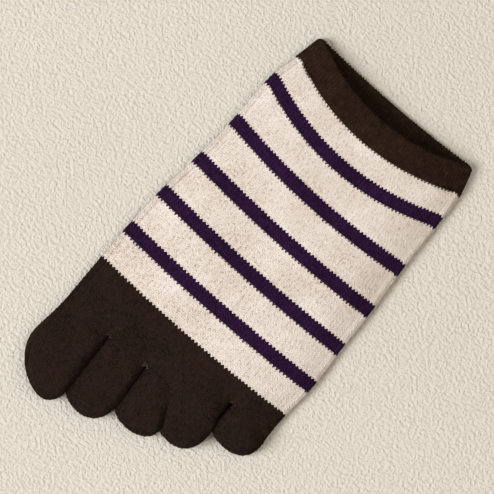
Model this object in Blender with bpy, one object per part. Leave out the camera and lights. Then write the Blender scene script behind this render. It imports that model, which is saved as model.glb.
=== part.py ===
"""A toe sock for a left foot, lying flat on its sole with the instep up.

Metres, +Z up. +Y runs from the toes to the cuff, and +X towards the little
toe. The origin is under the sock's middle, on the surface that it lies on.
"""
import math
from collections import namedtuple

import bmesh
import bpy

# Sizes in metres, each set by itself.
LENGTH = 0.180          # from the big toe's tip to the back rim of the cuff
WIDTH = 0.0985          # across the forefoot, where it is widest
CROWN = 0.0110          # height of the foot tube along its middle
TOE_CROWN = 0.0096      # height of the big toe's pocket
WALL = 0.0016           # one layer of the knitted fabric
CUFF_WALL = 0.0020      # one layer of the ribbed cuff
CUFF_DEPTH = 0.0120     # cuff from its rim to its seam
STRIPE_DEPTH = 0.0059   # one purple stripe
FOLD_SPACE = 0.0012     # height left inside the side folds of the tube
TOE_FOLD_SPACE = 0.0020  # height left inside the side folds of a toe
SEAM = 0.0003           # gap between two neighbouring pieces
RIM_ROUND = 0.0005      # rounding of the cuff's free edge
TIP_ROUND = 0.0095      # stretch over which a toe's height rounds off
CREASE_REACH = 0.0085   # half the width of the dip between two toes

# How lines and sections curve.
SOLE_BOW = 0.13         # bow of the sole's courses as a share of the instep's
TIP_FULLNESS = 1.9      # 2 is an elliptic toe tip, and more is squarer
TOE_DOME = 3.0          # how flat the top of a toe is across
TIP_HEIGHT = 0.45       # height of a toe's tip as a share of its crown
TOE_BEND = 0.7          # most that a toe's side fold takes of its half width
RIM_CORNER = 0.12       # how far the rim's folded corners lie back, and the
CORNER_FADE = 0.15      # depth where they end, as shares of CUFF_DEPTH

# Courses of the instep, each a line across the sock. A line is given by how
# far along it lies at the left fold, the middle and the right fold, as shares
# of LENGTH from the sock's middle.
Course = namedtuple("Course", "left middle right")
RIM = Course(0.500, 0.449, 0.500)
STRIPES = (
    Course(0.361, 0.312, 0.359),
    Course(0.239, 0.215, 0.226),
    Course(0.124, 0.109, 0.113),
    Course(0.017, 0.004, 0.007),
    Course(-0.092, -0.101, -0.097),
)
FOREFOOT_EDGE = Course(-0.178, -0.187, -0.181)
LITTLE_TOE_ROOT = Course(-0.236, -0.236, -0.236)
TOE_ROOTS = Course(-0.301, -0.301, -0.301)

# Side folds of the tube: place along it as a share of LENGTH, and the two
# folds as shares of WIDTH from the middle.
Fold = namedtuple("Fold", "along left right")
FOLDS = (
    Fold(0.500, -0.390, 0.411),
    Fold(0.433, -0.414, 0.445),
    Fold(0.361, -0.443, 0.455),
    Fold(0.233, -0.445, 0.465),
    Fold(0.117, -0.459, 0.481),
    Fold(0.011, -0.480, 0.488),
    Fold(-0.097, -0.487, 0.500),
    Fold(-0.183, -0.486, 0.491),
    Fold(-0.301, -0.483, 0.493),
)

# Height of the tube: place along it as a share of LENGTH, height of the
# middle as a share of CROWN, and how flat the top is across.
Height = namedtuple("Height", "along crown flatness")
HEIGHTS = (
    Height(0.500, 0.92, 2.6),
    Height(0.361, 0.98, 3.0),
    Height(0.117, 1.00, 3.2),
    Height(-0.097, 0.98, 3.4),
    Height(-0.183, 0.94, 4.5),
    Height(-0.236, 0.90, 7.0),
    Height(-0.301, 0.88, 10.0),
)

# Dips between neighbouring toes: the line that parts the two toes, from its
# root across and along to its far end, how far back the dip starts, and how
# deep it is at the root, from 0 to 1. Across is in shares of WIDTH, along in
# shares of LENGTH.
Parting = namedtuple("Parting", "root_x root_y end_x end_y start_y depth")
PARTINGS = (
    Parting(-0.2570, -0.301, -0.2457, -0.4528, -0.232, 1.0),
    Parting(-0.0650, -0.301, -0.0508, -0.4083, -0.232, 1.0),
    Parting(0.0812, -0.301, 0.1421, -0.3856, -0.245, 0.7),
    Parting(0.3005, -0.236, 0.3066, -0.3361, -0.187, 1.0),
)

# Toe pockets, from the big toe: where the left and right sides start to
# round off, the tip, and the height as a share of TOE_CROWN.
Toe = namedtuple("Toe", "left_end right_end tip_x tip_y crown")
TOES = (
    Toe(-0.4094, -0.4528, -0.316, -0.500, 1.00),
    Toe(-0.4389, -0.4083, -0.152, -0.471, 0.96),
    Toe(-0.4056, -0.3856, 0.036, -0.428, 0.94),
    Toe(-0.3789, -0.3361, 0.203, -0.391, 0.94),
    Toe(-0.3067, -0.2639, 0.391, -0.321, 0.93),
)
BIG_TOE_BULGE = -0.500     # outer side of the big toe where it is widest, and
LITTLE_TOE_BULGE = 0.4965  # of the little toe, as shares of WIDTH

# How finely the surfaces are divided.
TUBE_COLUMNS = 14
SOLE_COLUMNS = 6
DIP_COLUMNS = (-0.6, -0.25, 0.0, 0.25, 0.6)  # places in a dip's reach
COLUMN_SPACE = 0.03                          # least space to an even column
FOLD_STEPS = 4
TOE_COLUMNS = 8
TOE_SOLE_COLUMNS = 4
SHAFT_STEPS = 2
TIP_STEPS = 7

# Yarn colours as seen on screen, with roughness.
YARNS = {
    "cuff_yarn": ((0.205, 0.155, 0.125), 0.92),
    "toe_yarn": ((0.175, 0.125, 0.100), 0.92),
    "cream_yarn": ((0.905, 0.860, 0.800), 0.90),
    "purple_yarn": ((0.160, 0.080, 0.240), 0.90),
}


QUARTER = math.pi / 2   # a quarter turn, which is the turn of the instep


def between(start, end, share):
    """The value that lies a share of the way from start to end."""
    return start + (end - start) * share


def read_table(rows, along, column):
    """A smooth reading of a table's column at a place along the sock."""
    rows = sorted(rows)
    places = [row.along * LENGTH for row in rows]
    values = [getattr(row, column) for row in rows]
    along = min(max(along, places[0]), places[-1])
    index = max(i for i in range(len(rows) - 1) if places[i] <= along)
    step = places[index + 1] - places[index]
    slopes = []
    for knot in (index, index + 1):
        before, after = max(knot - 1, 0), min(knot + 1, len(rows) - 1)
        slopes.append((values[after] - values[before])
                      / (places[after] - places[before]))
    t = (along - places[index]) / step
    rise = t * t * (3 - 2 * t)
    return (between(values[index], values[index + 1], rise)
            + step * slopes[0] * t * (1 - t) ** 2
            - step * slopes[1] * t * t * (1 - t))


def smooth_step(start, end, value):
    """A soft ramp from 0 at start to 1 at end."""
    t = min(max((value - start) / (end - start), 0.0), 1.0)
    return t * t * (3 - 2 * t)


def rounding(share):
    """Width left at a share of the way into a rounded end."""
    share = min(max(share, 0.0), 1.0)
    return (1 - share ** TIP_FULLNESS) ** (1 / TIP_FULLNESS)


def parting_x(parting, y):
    """The line between two toes, read at a place along it."""
    root_y, end_y = parting.root_y * LENGTH, parting.end_y * LENGTH
    share = (y - root_y) / (end_y - root_y)
    return between(parting.root_x, parting.end_x, share) * WIDTH


def tube_sides(y):
    """The left and right folds of the whole tube."""
    return (read_table(FOLDS, y, "left") * WIDTH,
            read_table(FOLDS, y, "right") * WIDTH)


def four_toe_sides(y):
    """The folds of the ring that leaves the little toe out."""
    return tube_sides(y)[0], parting_x(PARTINGS[-1], y) - SEAM / 2


def places_round(columns, sole_columns):
    """Places round a flattened tube, as (across, turn).

    Across is -1 at the left fold and 1 at the right one. Turn is the angle
    round a fold: 90 degrees on the instep, -90 on the sole, 0 or 180 on the
    outside of a fold.
    """
    places = [(across, QUARTER) for across in columns]
    places += [(1.0, QUARTER - math.pi * step / FOLD_STEPS)
               for step in range(1, FOLD_STEPS)]
    places += [(1 - 2 * column / sole_columns, -QUARTER)
               for column in range(sole_columns + 1)]
    places += [(-1.0, -QUARTER - math.pi * step / FOLD_STEPS)
               for step in range(1, FOLD_STEPS)]
    return places


def even_columns(count):
    """Places across, evenly spaced from the left fold to the right one."""
    return [-1 + 2 * column / count for column in range(count + 1)]


def columns_with_partings(sides, partings):
    """Even columns, with closer ones where the dips between toes run."""
    closer = []
    for parting in partings:
        y = parting.root_y * LENGTH
        left, right = sides(y)
        centre, half = (left + right) / 2, (right - left) / 2 - fold_radius()
        for share in DIP_COLUMNS:
            x = parting_x(parting, y) + share * CREASE_REACH
            closer.append((x - centre) / half)
    apart = [column for column in even_columns(TUBE_COLUMNS)
             if all(abs(column - other) > COLUMN_SPACE for other in closer)]
    return sorted(apart + closer)


def fold_radius():
    """Outer radius of the tube's side folds."""
    return WALL + FOLD_SPACE / 2


def toe_fold_radius():
    """Outer radius of a toe's side folds."""
    return WALL + TOE_FOLD_SPACE / 2


def instep_height(across, x, y):
    """Height of the tube's upper side."""
    edge = 2 * fold_radius()
    crown = read_table(HEIGHTS, y, "crown") * CROWN
    flatness = read_table(HEIGHTS, y, "flatness")
    height = edge + (crown - edge) * (1 - abs(across) ** flatness)
    for parting in PARTINGS:
        reach = abs(x - parting_x(parting, y)) / CREASE_REACH
        ramp = smooth_step(parting.start_y * LENGTH, parting.root_y * LENGTH, y)
        dip = parting.depth * ramp * max(1 - reach, 0.0) ** 2
        height -= max(height - 2 * toe_fold_radius(), 0.0) * dip
    return height


def tube_point(line, sides, place, inset):
    """A point on the tube's outer face, or inset from it."""
    across, turn = place
    left, middle, right = (share * LENGTH for share in line)
    instep = (1 + math.sin(turn)) / 2
    bow = (middle - (left + right) / 2) * between(SOLE_BOW, 1.0, instep)
    y = between(left, right, (across + 1) / 2) + bow * (1 - across ** 2)
    low, high = sides(y)
    radius = fold_radius()
    x = (low + high) / 2 + across * ((high - low) / 2 - radius)
    x += math.cos(turn) * (radius - inset)
    if turn == QUARTER:
        z = instep_height(across, x, y) - inset
    else:
        z = radius + math.sin(turn) * (radius - inset)
    return x, y, z


def moved(line, distance):
    """A course moved along the sock by a distance in metres."""
    return Course(*(share + distance / LENGTH for share in line))


def mixed(first, second, share):
    """A course between two others."""
    return Course(*(between(a, b, share) for a, b in zip(first, second)))


def skin(loops, closed):
    """A closed surface through loops of points.

    With closed, the last loop joins the first one. Otherwise the first and
    last entries are single points that close the two ends.
    """
    mesh = bmesh.new()
    rows = [[mesh.verts.new(point) for point in loop] for loop in loops]
    pairs = list(zip(rows, rows[1:]))
    if closed:
        pairs.append((rows[-1], rows[0]))
    for first, second in pairs:
        count = max(len(first), len(second))
        for index in range(count):
            corners = [first[index % len(first)],
                       first[(index + 1) % len(first)],
                       second[(index + 1) % len(second)],
                       second[index % len(second)]]
            mesh.faces.new(list(dict.fromkeys(corners)))
    bmesh.ops.recalc_face_normals(mesh, faces=mesh.faces)
    return mesh


def yarn_material(name):
    """The plain finish of one yarn."""
    material = bpy.data.materials.get(name)
    if material:
        return material
    colour, roughness = YARNS[name]
    material = bpy.data.materials.new(name)
    material.use_nodes = True
    shader = material.node_tree.nodes["Principled BSDF"]
    linear = [((c + 0.055) / 1.055) ** 2.4 for c in colour]
    shader.inputs["Base Color"].default_value = (*linear, 1.0)
    shader.inputs["Roughness"].default_value = roughness
    shader.inputs["Metallic"].default_value = 0.0
    material.diffuse_color = (*linear, 1.0)
    return material


def add_piece(name, loops, closed, yarn):
    """One object from its loops of points."""
    surface = skin(loops, closed)
    mesh = bpy.data.meshes.new(name)
    surface.to_mesh(mesh)
    surface.free()
    mesh.materials.append(yarn_material(yarn))
    mesh.shade_smooth()
    mesh.set_sharp_from_angle(angle=math.radians(50))
    piece = bpy.data.objects.new(name, mesh)
    bpy.context.scene.collection.objects.link(piece)
    return piece


def ring_loops(upper, lower, sides, columns, wall, steps):
    """The outer loops from the upper course to the lower, then the inner."""
    places = places_round(columns, SOLE_COLUMNS)
    lines = [mixed(upper, lower, step / steps) for step in range(steps + 1)]
    outer = [[tube_point(line, sides, place, 0.0) for place in places]
             for line in lines]
    inner = [[tube_point(line, sides, place, wall) for place in places]
             for line in reversed(lines)]
    return outer, inner


def add_ring(name, yarn, upper, lower, steps, sides=tube_sides, columns=None):
    """A ring of the tube between two courses, clear of its neighbours."""
    upper, lower = moved(upper, -SEAM / 2), moved(lower, SEAM / 2)
    columns = columns or even_columns(TUBE_COLUMNS)
    outer, inner = ring_loops(upper, lower, sides, columns, WALL, steps)
    return add_piece(name, outer + inner, True, yarn)


def rim_loop(line, inset):
    """A loop of the cuff's rim, with its folded corners lying back."""
    loop = []
    for place in places_round(even_columns(TUBE_COLUMNS), SOLE_COLUMNS):
        x, y, z = tube_point(line, tube_sides, place, inset)
        y -= RIM_CORNER * CUFF_DEPTH * math.cos(place[1]) ** 2
        loop.append((x, y, z))
    return loop


def add_cuff(lower):
    """The cuff, whose free edge is rounded."""
    body = moved(RIM, -RIM_ROUND)
    columns = even_columns(TUBE_COLUMNS)
    outer, inner = ring_loops(mixed(body, lower, CORNER_FADE), moved(lower, SEAM / 2),
                              tube_sides, columns, CUFF_WALL, 2)
    rim = [rim_loop(body, CUFF_WALL), rim_loop(RIM, CUFF_WALL - RIM_ROUND),
           rim_loop(RIM, RIM_ROUND), rim_loop(body, 0.0)]
    return add_piece("cuff", rim + outer + inner, True, "cuff_yarn")


def add_tube():
    """The cuff, the cream and purple rings and the two brown rings."""
    upper = moved(RIM, -CUFF_DEPTH)
    add_cuff(upper)
    for number, centre in enumerate(STRIPES, 1):
        start = moved(centre, STRIPE_DEPTH / 2)
        end = moved(centre, -STRIPE_DEPTH / 2)
        add_ring(f"cream_band_{number}", "cream_yarn", upper, start, 2)
        add_ring(f"stripe_{number}", "purple_yarn", start, end, 1)
        upper = end
    add_ring(f"cream_band_{len(STRIPES) + 1}", "cream_yarn",
             upper, FOREFOOT_EDGE, 2)
    add_ring("forefoot", "toe_yarn", FOREFOOT_EDGE, LITTLE_TOE_ROOT, 4,
             columns=columns_with_partings(tube_sides, PARTINGS))
    add_ring("four_toe_band", "toe_yarn", LITTLE_TOE_ROOT, TOE_ROOTS, 4,
             sides=four_toe_sides,
             columns=columns_with_partings(four_toe_sides, PARTINGS[:-1]))


def toe_side(index, y, right, inset):
    """One side of a toe pocket at a place along it."""
    toe = TOES[index]
    end_y = (toe.right_end if right else toe.left_end) * LENGTH
    tip_x, tip_y = toe.tip_x * WIDTH, toe.tip_y * LENGTH + inset
    straight_y = max(y, end_y)
    inward = -1 if right else 1
    if index == 0 and not right:
        root_y = TOE_ROOTS.middle * LENGTH
        bulge = smooth_step(root_y, end_y, straight_y)
        side = between(tube_sides(root_y)[0], BIG_TOE_BULGE * WIDTH, bulge)
    elif index == len(TOES) - 1 and right:
        root_y = LITTLE_TOE_ROOT.middle * LENGTH
        bulge = smooth_step(root_y, end_y, straight_y)
        side = between(tube_sides(root_y)[1], LITTLE_TOE_BULGE * WIDTH, bulge)
    else:
        parting = PARTINGS[index if right else index - 1]
        side = parting_x(parting, straight_y) + inward * SEAM / 2
    side += inward * inset
    if y >= end_y:
        return side
    return between(tip_x, side, rounding((end_y - y) / (end_y - tip_y)))


def toe_loop(index, y, inset):
    """A loop round a toe pocket, or the single point at its tip."""
    toe = TOES[index]
    tip_y = toe.tip_y * LENGTH + inset
    crown = toe.crown * TOE_CROWN
    radius = toe_fold_radius()
    tip_height = crown * TIP_HEIGHT
    squeeze = rounding((tip_y + TIP_ROUND - y) / TIP_ROUND)
    if y <= tip_y:
        return [(toe.tip_x * WIDTH, tip_y, tip_height)]
    left, right = (toe_side(index, y, side, inset) for side in (False, True))
    half = (right - left) / 2
    bend = min(radius - inset, half * TOE_BEND)
    loop = []
    places = places_round(even_columns(TOE_COLUMNS), TOE_SOLE_COLUMNS)
    for across, turn in places:
        x = (left + right) / 2 + across * (half - bend) + math.cos(turn) * bend
        if turn == QUARTER:
            dome = 1 - abs(across) ** TOE_DOME
            z = between(2 * radius, crown, dome) - inset
        else:
            z = radius + math.sin(turn) * (radius - inset)
        loop.append((x, y, between(tip_height, z, squeeze)))
    return loop


def toe_stations(index, root_y, inset):
    """Places along a toe, closer together towards its tip."""
    toe = TOES[index]
    bend_y = max(toe.left_end, toe.right_end) * LENGTH
    tip_y = toe.tip_y * LENGTH + inset
    stations = [between(root_y, bend_y, step / SHAFT_STEPS)
                for step in range(SHAFT_STEPS)]
    for step in range(TIP_STEPS + 1):
        share = math.sin(QUARTER * step / TIP_STEPS)
        stations.append(between(bend_y, tip_y, share))
    return stations


def add_toe(index):
    """A toe pocket: a tube closed at its tip and open at its root."""
    last = index == len(TOES) - 1
    root = LITTLE_TOE_ROOT if last else TOE_ROOTS
    root_y = root.middle * LENGTH - SEAM / 2
    outer = [toe_loop(index, y, 0.0) for y in toe_stations(index, root_y, 0.0)]
    inner = [toe_loop(index, y, WALL) for y in toe_stations(index, root_y, WALL)]
    return add_piece(f"toe_{index + 1}", outer[::-1] + inner, False, "toe_yarn")


def main():
    for old in list(bpy.data.objects):
        bpy.data.objects.remove(old, do_unlink=True)
    add_tube()
    for index in range(len(TOES)):
        add_toe(index)


main()
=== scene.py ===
# %% [markdown]
# # A toe sock, knitted stitch by stitch
# The real sock is one knitted tube with five small pockets at its end. Its
# look is that of its stitches: columns of small V shapes, in four colours of
# cotton. So this script works out where the cloth lies, and then sets a V of
# yarn at each place where the knitting machine made one.

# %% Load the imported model
import math
from collections import namedtuple

import bmesh
import bpy
import numpy as np
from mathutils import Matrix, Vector


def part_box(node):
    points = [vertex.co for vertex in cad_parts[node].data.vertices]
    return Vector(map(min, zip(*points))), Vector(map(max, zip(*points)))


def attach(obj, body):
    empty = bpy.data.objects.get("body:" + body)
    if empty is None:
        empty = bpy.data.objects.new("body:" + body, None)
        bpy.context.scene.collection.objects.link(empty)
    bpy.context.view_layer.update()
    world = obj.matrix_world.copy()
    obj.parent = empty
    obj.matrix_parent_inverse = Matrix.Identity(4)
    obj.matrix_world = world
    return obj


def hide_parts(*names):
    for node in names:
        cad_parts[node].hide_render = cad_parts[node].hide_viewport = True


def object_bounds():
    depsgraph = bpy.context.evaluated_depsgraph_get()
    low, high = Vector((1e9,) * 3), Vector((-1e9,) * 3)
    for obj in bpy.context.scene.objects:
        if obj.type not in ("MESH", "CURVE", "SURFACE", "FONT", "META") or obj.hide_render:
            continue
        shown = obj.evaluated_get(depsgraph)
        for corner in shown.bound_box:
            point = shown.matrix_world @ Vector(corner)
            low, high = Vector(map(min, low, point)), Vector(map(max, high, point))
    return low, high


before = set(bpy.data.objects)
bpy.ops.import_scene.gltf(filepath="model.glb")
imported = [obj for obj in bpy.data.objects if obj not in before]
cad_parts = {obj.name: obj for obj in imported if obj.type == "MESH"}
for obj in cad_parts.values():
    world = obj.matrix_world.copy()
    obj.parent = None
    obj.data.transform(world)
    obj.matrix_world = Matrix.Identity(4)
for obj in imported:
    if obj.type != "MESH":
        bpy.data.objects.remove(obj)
cad_low, cad_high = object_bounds()
print("model", [round(1000 * side, 1) for side in cad_high - cad_low], "mm")

# %% [markdown]
# ## Sizes
# The outside sizes are read from the model, so the cloth always fits it. The
# rest are what a knitter would count and measure: how thick the fabric is,
# how far apart the rows are, and how many columns go round the foot.

# %% Sizes
MM = 0.001
LENGTH = cad_high.y - cad_low.y
WIDTH = cad_high.x - cad_low.x
CROWN = cad_high.z - cad_low.z
TOE_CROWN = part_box("toe_1")[1].z
WALL = 1.6 * MM
CUFF_WALL = 2.0 * MM
CUFF_DEPTH = 12.0 * MM
STRIPE_DEPTH = 5.9 * MM
FOLD_RADIUS = 2.2 * MM
TOE_FOLD_RADIUS = 2.6 * MM
TOE_SIDE_RADIUS = 3.4 * MM  # of a toe's side that leans on its neighbour
TIP_ROUND = 9.5 * MM
CREASE_REACH = 8.5 * MM
OVERLAP = 0.35 * MM        # how far a toe presses into its neighbour at its root
TIP_OVERLAP = 0.8 * MM     # and near its tip
PRESSED_OVERLAP = 1.9 * MM  # and where two toes are knitted tight together
SIDE_PROUD = 0.50 * MM     # how far the yarn stands out past the folds
TIP_PROUD = 0.85 * MM      # and past the tips of the toes
LEFT_FLANK = 2.3 * MM      # width of a toe's left side as seen from above
RIGHT_FLANK = 0.5 * MM     # and of its right side, which stands steeper
PRESSED_FLANK = 0.5 * MM   # and where two toes are pressed together
LITTLE_TOE_FLANK = 1.3 * MM  # width of the little toe's outer side
COURSE = 0.92 * MM         # from one row of stitches to the next
WALES = 116                # columns of stitches round the foot
YARN_INSET = 0.32 * MM     # middle of the yarn under the cloth's outside
SKIN_INSET = 0.34 * MM     # the backing that closes the gaps between stitches
print("sock", round(LENGTH / MM, 1), "mm long,", WALES, "stitches round")

# %% [markdown]
# ## Where the knitting runs
# A row of stitches is a course, and a column of them is a wale. Each line of
# this table is a course: how far along the sock it lies at the left fold, in
# the middle and at the right fold. The other tables give the side folds, the
# height, the creases between the toes and the toes themselves. All are shares
# of the sock's own length, width and height, so they stay short.

# %% Tables of the form
def course(left, middle, right):
    return np.array([left, middle, right]) * LENGTH


RIM = course(0.500, 0.449, 0.500)
STRIPES = (
    course(0.361, 0.312, 0.359),
    course(0.239, 0.215, 0.226),
    course(0.124, 0.109, 0.113),
    course(0.017, 0.004, 0.007),
    course(-0.092, -0.101, -0.097),
)
FOREFOOT_EDGE = course(-0.178, -0.187, -0.181)
LITTLE_TOE_ROOT = course(-0.236, -0.236, -0.236)
TOE_ROOTS = course(-0.301, -0.301, -0.301)

Fold = namedtuple("Fold", "along left right")
FOLDS = (
    Fold(0.500, -0.390, 0.411),
    Fold(0.433, -0.414, 0.445),
    Fold(0.361, -0.443, 0.455),
    Fold(0.233, -0.445, 0.465),
    Fold(0.117, -0.459, 0.481),
    Fold(0.011, -0.480, 0.488),
    Fold(-0.097, -0.487, 0.500),
    Fold(-0.183, -0.486, 0.491),
    Fold(-0.301, -0.483, 0.493),
)
Height = namedtuple("Height", "along crown flatness")
HEIGHTS = (
    Height(0.500, 0.92, 2.9),
    Height(0.361, 0.98, 3.8),
    Height(0.117, 1.00, 4.4),
    Height(-0.097, 0.98, 4.6),
    Height(-0.183, 0.94, 5.2),
    Height(-0.236, 0.90, 7.0),
    Height(-0.301, 0.88, 10.0),
)
Parting = namedtuple("Parting", "root_x root_y end_x end_y start_y depth")
PARTINGS = (
    Parting(-0.2570, -0.301, -0.2457, -0.4528, -0.232, 1.0),
    Parting(-0.0650, -0.301, -0.0508, -0.4083, -0.232, 1.0),
    Parting(0.0812, -0.301, 0.1421, -0.3856, -0.245, 0.7),
    Parting(0.3005, -0.236, 0.3066, -0.3361, -0.187, 1.0),
)
Toe = namedtuple("Toe", "left_end right_end tip_x tip_y crown")
TOES = (
    Toe(-0.405, -0.453, -0.316, -0.500, 1.00),
    Toe(-0.438, -0.402, -0.152, -0.471, 0.96),
    Toe(-0.400, -0.385, 0.036, -0.428, 0.94),
    Toe(-0.379, -0.324, 0.203, -0.391, 0.94),
    Toe(-0.303, -0.268, 0.391, -0.321, 0.93),
)
BIG_TOE_BULGE = -0.500
LITTLE_TOE_BULGE = 0.4965
SOLE_BOW = 0.13            # bow of the sole's courses beside the instep's
TIP_FULLNESS = 2.25        # 2 is an elliptic toe tip, and more is squarer
BIG_TOE_FULLNESS = 1.7     # of the big toe's outer corner, which is rounder
CORNER_WIDTH = 0.8 * MM    # how far the rim's corners are rounded off across
CORNER_DEPTH = 1.6 * MM    # and down the cuff
CUFF_PROUD = 0.3 * MM      # how far the ribbing stands out past the foot
print(len(STRIPES), "stripes,", len(TOES), "toes")

# %% [markdown]
# ## Reading the tables
# Straight lines between the rows of a table would leave corners in the cloth,
# so a reading follows a cubic curve with a matched slope at each row. Every
# helper here takes whole arrays, because numpy then works out a course of
# several hundred points in one go.

# %% Helpers for curves
def between(start, end, share):
    return start + (end - start) * share


def soft_step(start, end, value):
    """A soft ramp from 0 at start to 1 at end."""
    t = np.clip((value - start) / (end - start), 0.0, 1.0)
    return t * t * (3 - 2 * t)


def rounding(share, fullness=TIP_FULLNESS):
    """Width left at a share of the way into a rounded end."""
    share = np.clip(share, 0.0, 1.0)
    return (1 - share ** fullness) ** (1 / fullness)


def read_table(rows, along, column):
    """A smooth reading of one column at places along the sock."""
    rows = sorted(rows)
    knots = np.array([row.along for row in rows]) * LENGTH
    values = np.array([getattr(row, column) for row in rows])
    here = np.arange(len(rows))
    before, after = np.maximum(here - 1, 0), np.minimum(here + 1, len(rows) - 1)
    slopes = (values[after] - values[before]) / (knots[after] - knots[before])
    along = np.clip(along, knots[0], knots[-1])
    row = np.clip(np.searchsorted(knots, along, "right") - 1, 0, len(rows) - 2)
    step = knots[row + 1] - knots[row]
    t = (along - knots[row]) / step
    bend = slopes[row] * t * (1 - t) ** 2 - slopes[row + 1] * t * t * (1 - t)
    return between(values[row], values[row + 1], soft_step(0, 1, t)) + step * bend


print("crown in mid foot", round(float(read_table(HEIGHTS, 0.0, "crown")), 3))

# %% [markdown]
# ## The foot tube
# A sock that lies flat has two folds, one along each side, and two layers
# between them. A place round it is given by how far across it lies and by how
# far it has turned round a fold. The instep rises to a soft crown, dips
# between the toes and has a few faint waves, as cloth does that was pressed
# and then opened up. The sole lies flat on the table.

# %% The shape of the tube
QUARTER = math.pi / 2
Places = namedtuple("Places", "across turn")


def places_round(top, fold, sole):
    """Places round a tube, from the left fold's side over the instep."""
    across = np.concatenate([
        np.full(fold, -1.0), np.linspace(-1, 1, top), np.full(2 * fold, 1.0),
        np.linspace(1, -1, sole), np.full(fold - 1, -1.0)])
    turn = np.concatenate([
        np.linspace(2 * QUARTER, QUARTER, fold, endpoint=False),
        np.full(top, QUARTER),
        np.linspace(QUARTER, -QUARTER, 2 * fold + 2)[1:-1],
        np.full(sole, -QUARTER),
        np.linspace(-QUARTER, -2 * QUARTER, fold + 1)[1:-1]])
    return Places(across, turn)


TUBE_PLACES = places_round(161, 10, 61)
TOE_PLACES = places_round(61, 12, 31)


def parting_x(parting, y):
    """The line between two toes, read at a place along it."""
    share = (y / LENGTH - parting.root_y) / (parting.end_y - parting.root_y)
    return between(parting.root_x, parting.end_x, share) * WIDTH


def tube_sides(y):
    return (read_table(FOLDS, y, "left") * WIDTH,
            read_table(FOLDS, y, "right") * WIDTH)


def four_toe_sides(y):
    """The sides of the band that leaves the little toe out."""
    return tube_sides(y)[0], parting_x(PARTINGS[-1], y) + OVERLAP


def waves(x, y):
    """Faint unevenness of cloth that was folded and pressed."""
    slow = np.sin(x / (13 * MM) + y / (31 * MM)) * np.sin(y / (17 * MM) - 0.6)
    quick = np.sin(x / (5.1 * MM) - y / (9 * MM)) * np.sin(y / (6.3 * MM) + 1.1)
    return 0.16 * MM * slow + 0.05 * MM * quick


def instep_height(x, y):
    low, high = tube_sides(y)
    half = (high - low) / 2 - FOLD_RADIUS
    across = np.clip((x - (low + high) / 2) / half, -1, 1)
    edge = 2 * FOLD_RADIUS
    crown = read_table(HEIGHTS, y, "crown") * CROWN
    flatness = read_table(HEIGHTS, y, "flatness")
    height = edge + (crown - edge) * (1 - np.abs(across) ** flatness)
    height += (waves(x, y) - 0.2 * MM) * (1 - across ** 4)
    for parting in PARTINGS:
        reach = np.abs(x - parting_x(parting, y)) / CREASE_REACH
        ramp = soft_step(parting.start_y * LENGTH, parting.root_y * LENGTH, y)
        dip = parting.depth * ramp ** 2 * np.maximum(1 - reach, 0.0) ** 2
        height -= np.maximum(height - 2 * TOE_SIDE_RADIUS, 0.0) * dip
    return height


def tube_loop(line, sides, inset):
    """One course round the tube, as points that lie inset from its outside."""
    across, turn = TUBE_PLACES
    left, middle, right = line
    instep = (1 + np.sin(turn)) / 2
    bow = (middle - (left + right) / 2) * between(SOLE_BOW, 1.0, instep)
    y = between(left, right, (across + 1) / 2) + bow * (1 - across ** 2)
    low, high = sides(y)
    x = (low + high) / 2 + across * ((high - low) / 2 - FOLD_RADIUS)
    top = instep_height(x, y) - inset
    x = x + np.cos(turn) * (FOLD_RADIUS - inset + SIDE_PROUD)
    side = FOLD_RADIUS + np.sin(turn) * (FOLD_RADIUS - inset)
    z = np.where(turn == QUARTER, top, side)
    return np.stack([x, y, z], axis=1)


print(len(TUBE_PLACES.across), "places round the tube")

# %% [markdown]
# ## The toe pockets
# A toe pocket is a smaller flat tube with a domed top. Its sides run straight
# and then round off to the tip, where its height closes in as well. The
# third and fourth toes are pressed together, so the valley between them is
# wide and shallow, while the others have a deep and narrow one.

# %% The shape of a toe
TIP_HEIGHT = 0.45          # height of the tip as a share of the toe's crown
PRESSED_END = -0.375       # where the third and fourth toes come apart
OUTER_DOME = 5.0           # how flat a toe's top is towards an outer side,
LEFT_DOME = 3.2            # towards a neighbour on its left,
RIGHT_DOME = 12.0          # on its right,
PRESSED_DOME = 2.2         # and towards one that it is pressed on
SHOULDER_FADE = 7.0 * MM   # over which a toe takes its own height


def toe_root(index):
    """Where the pocket of a toe starts."""
    return (LITTLE_TOE_ROOT if index == len(TOES) - 1 else TOE_ROOTS)[1]


def pressing(index, y, right):
    """1 where a toe's side is pressed on its neighbour, and 0 elsewhere."""
    if (index, right) not in ((2, True), (3, False)):
        return 0.0
    return float(soft_step(PRESSED_END * LENGTH, TOE_ROOTS[1], y)) ** 0.4


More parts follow.
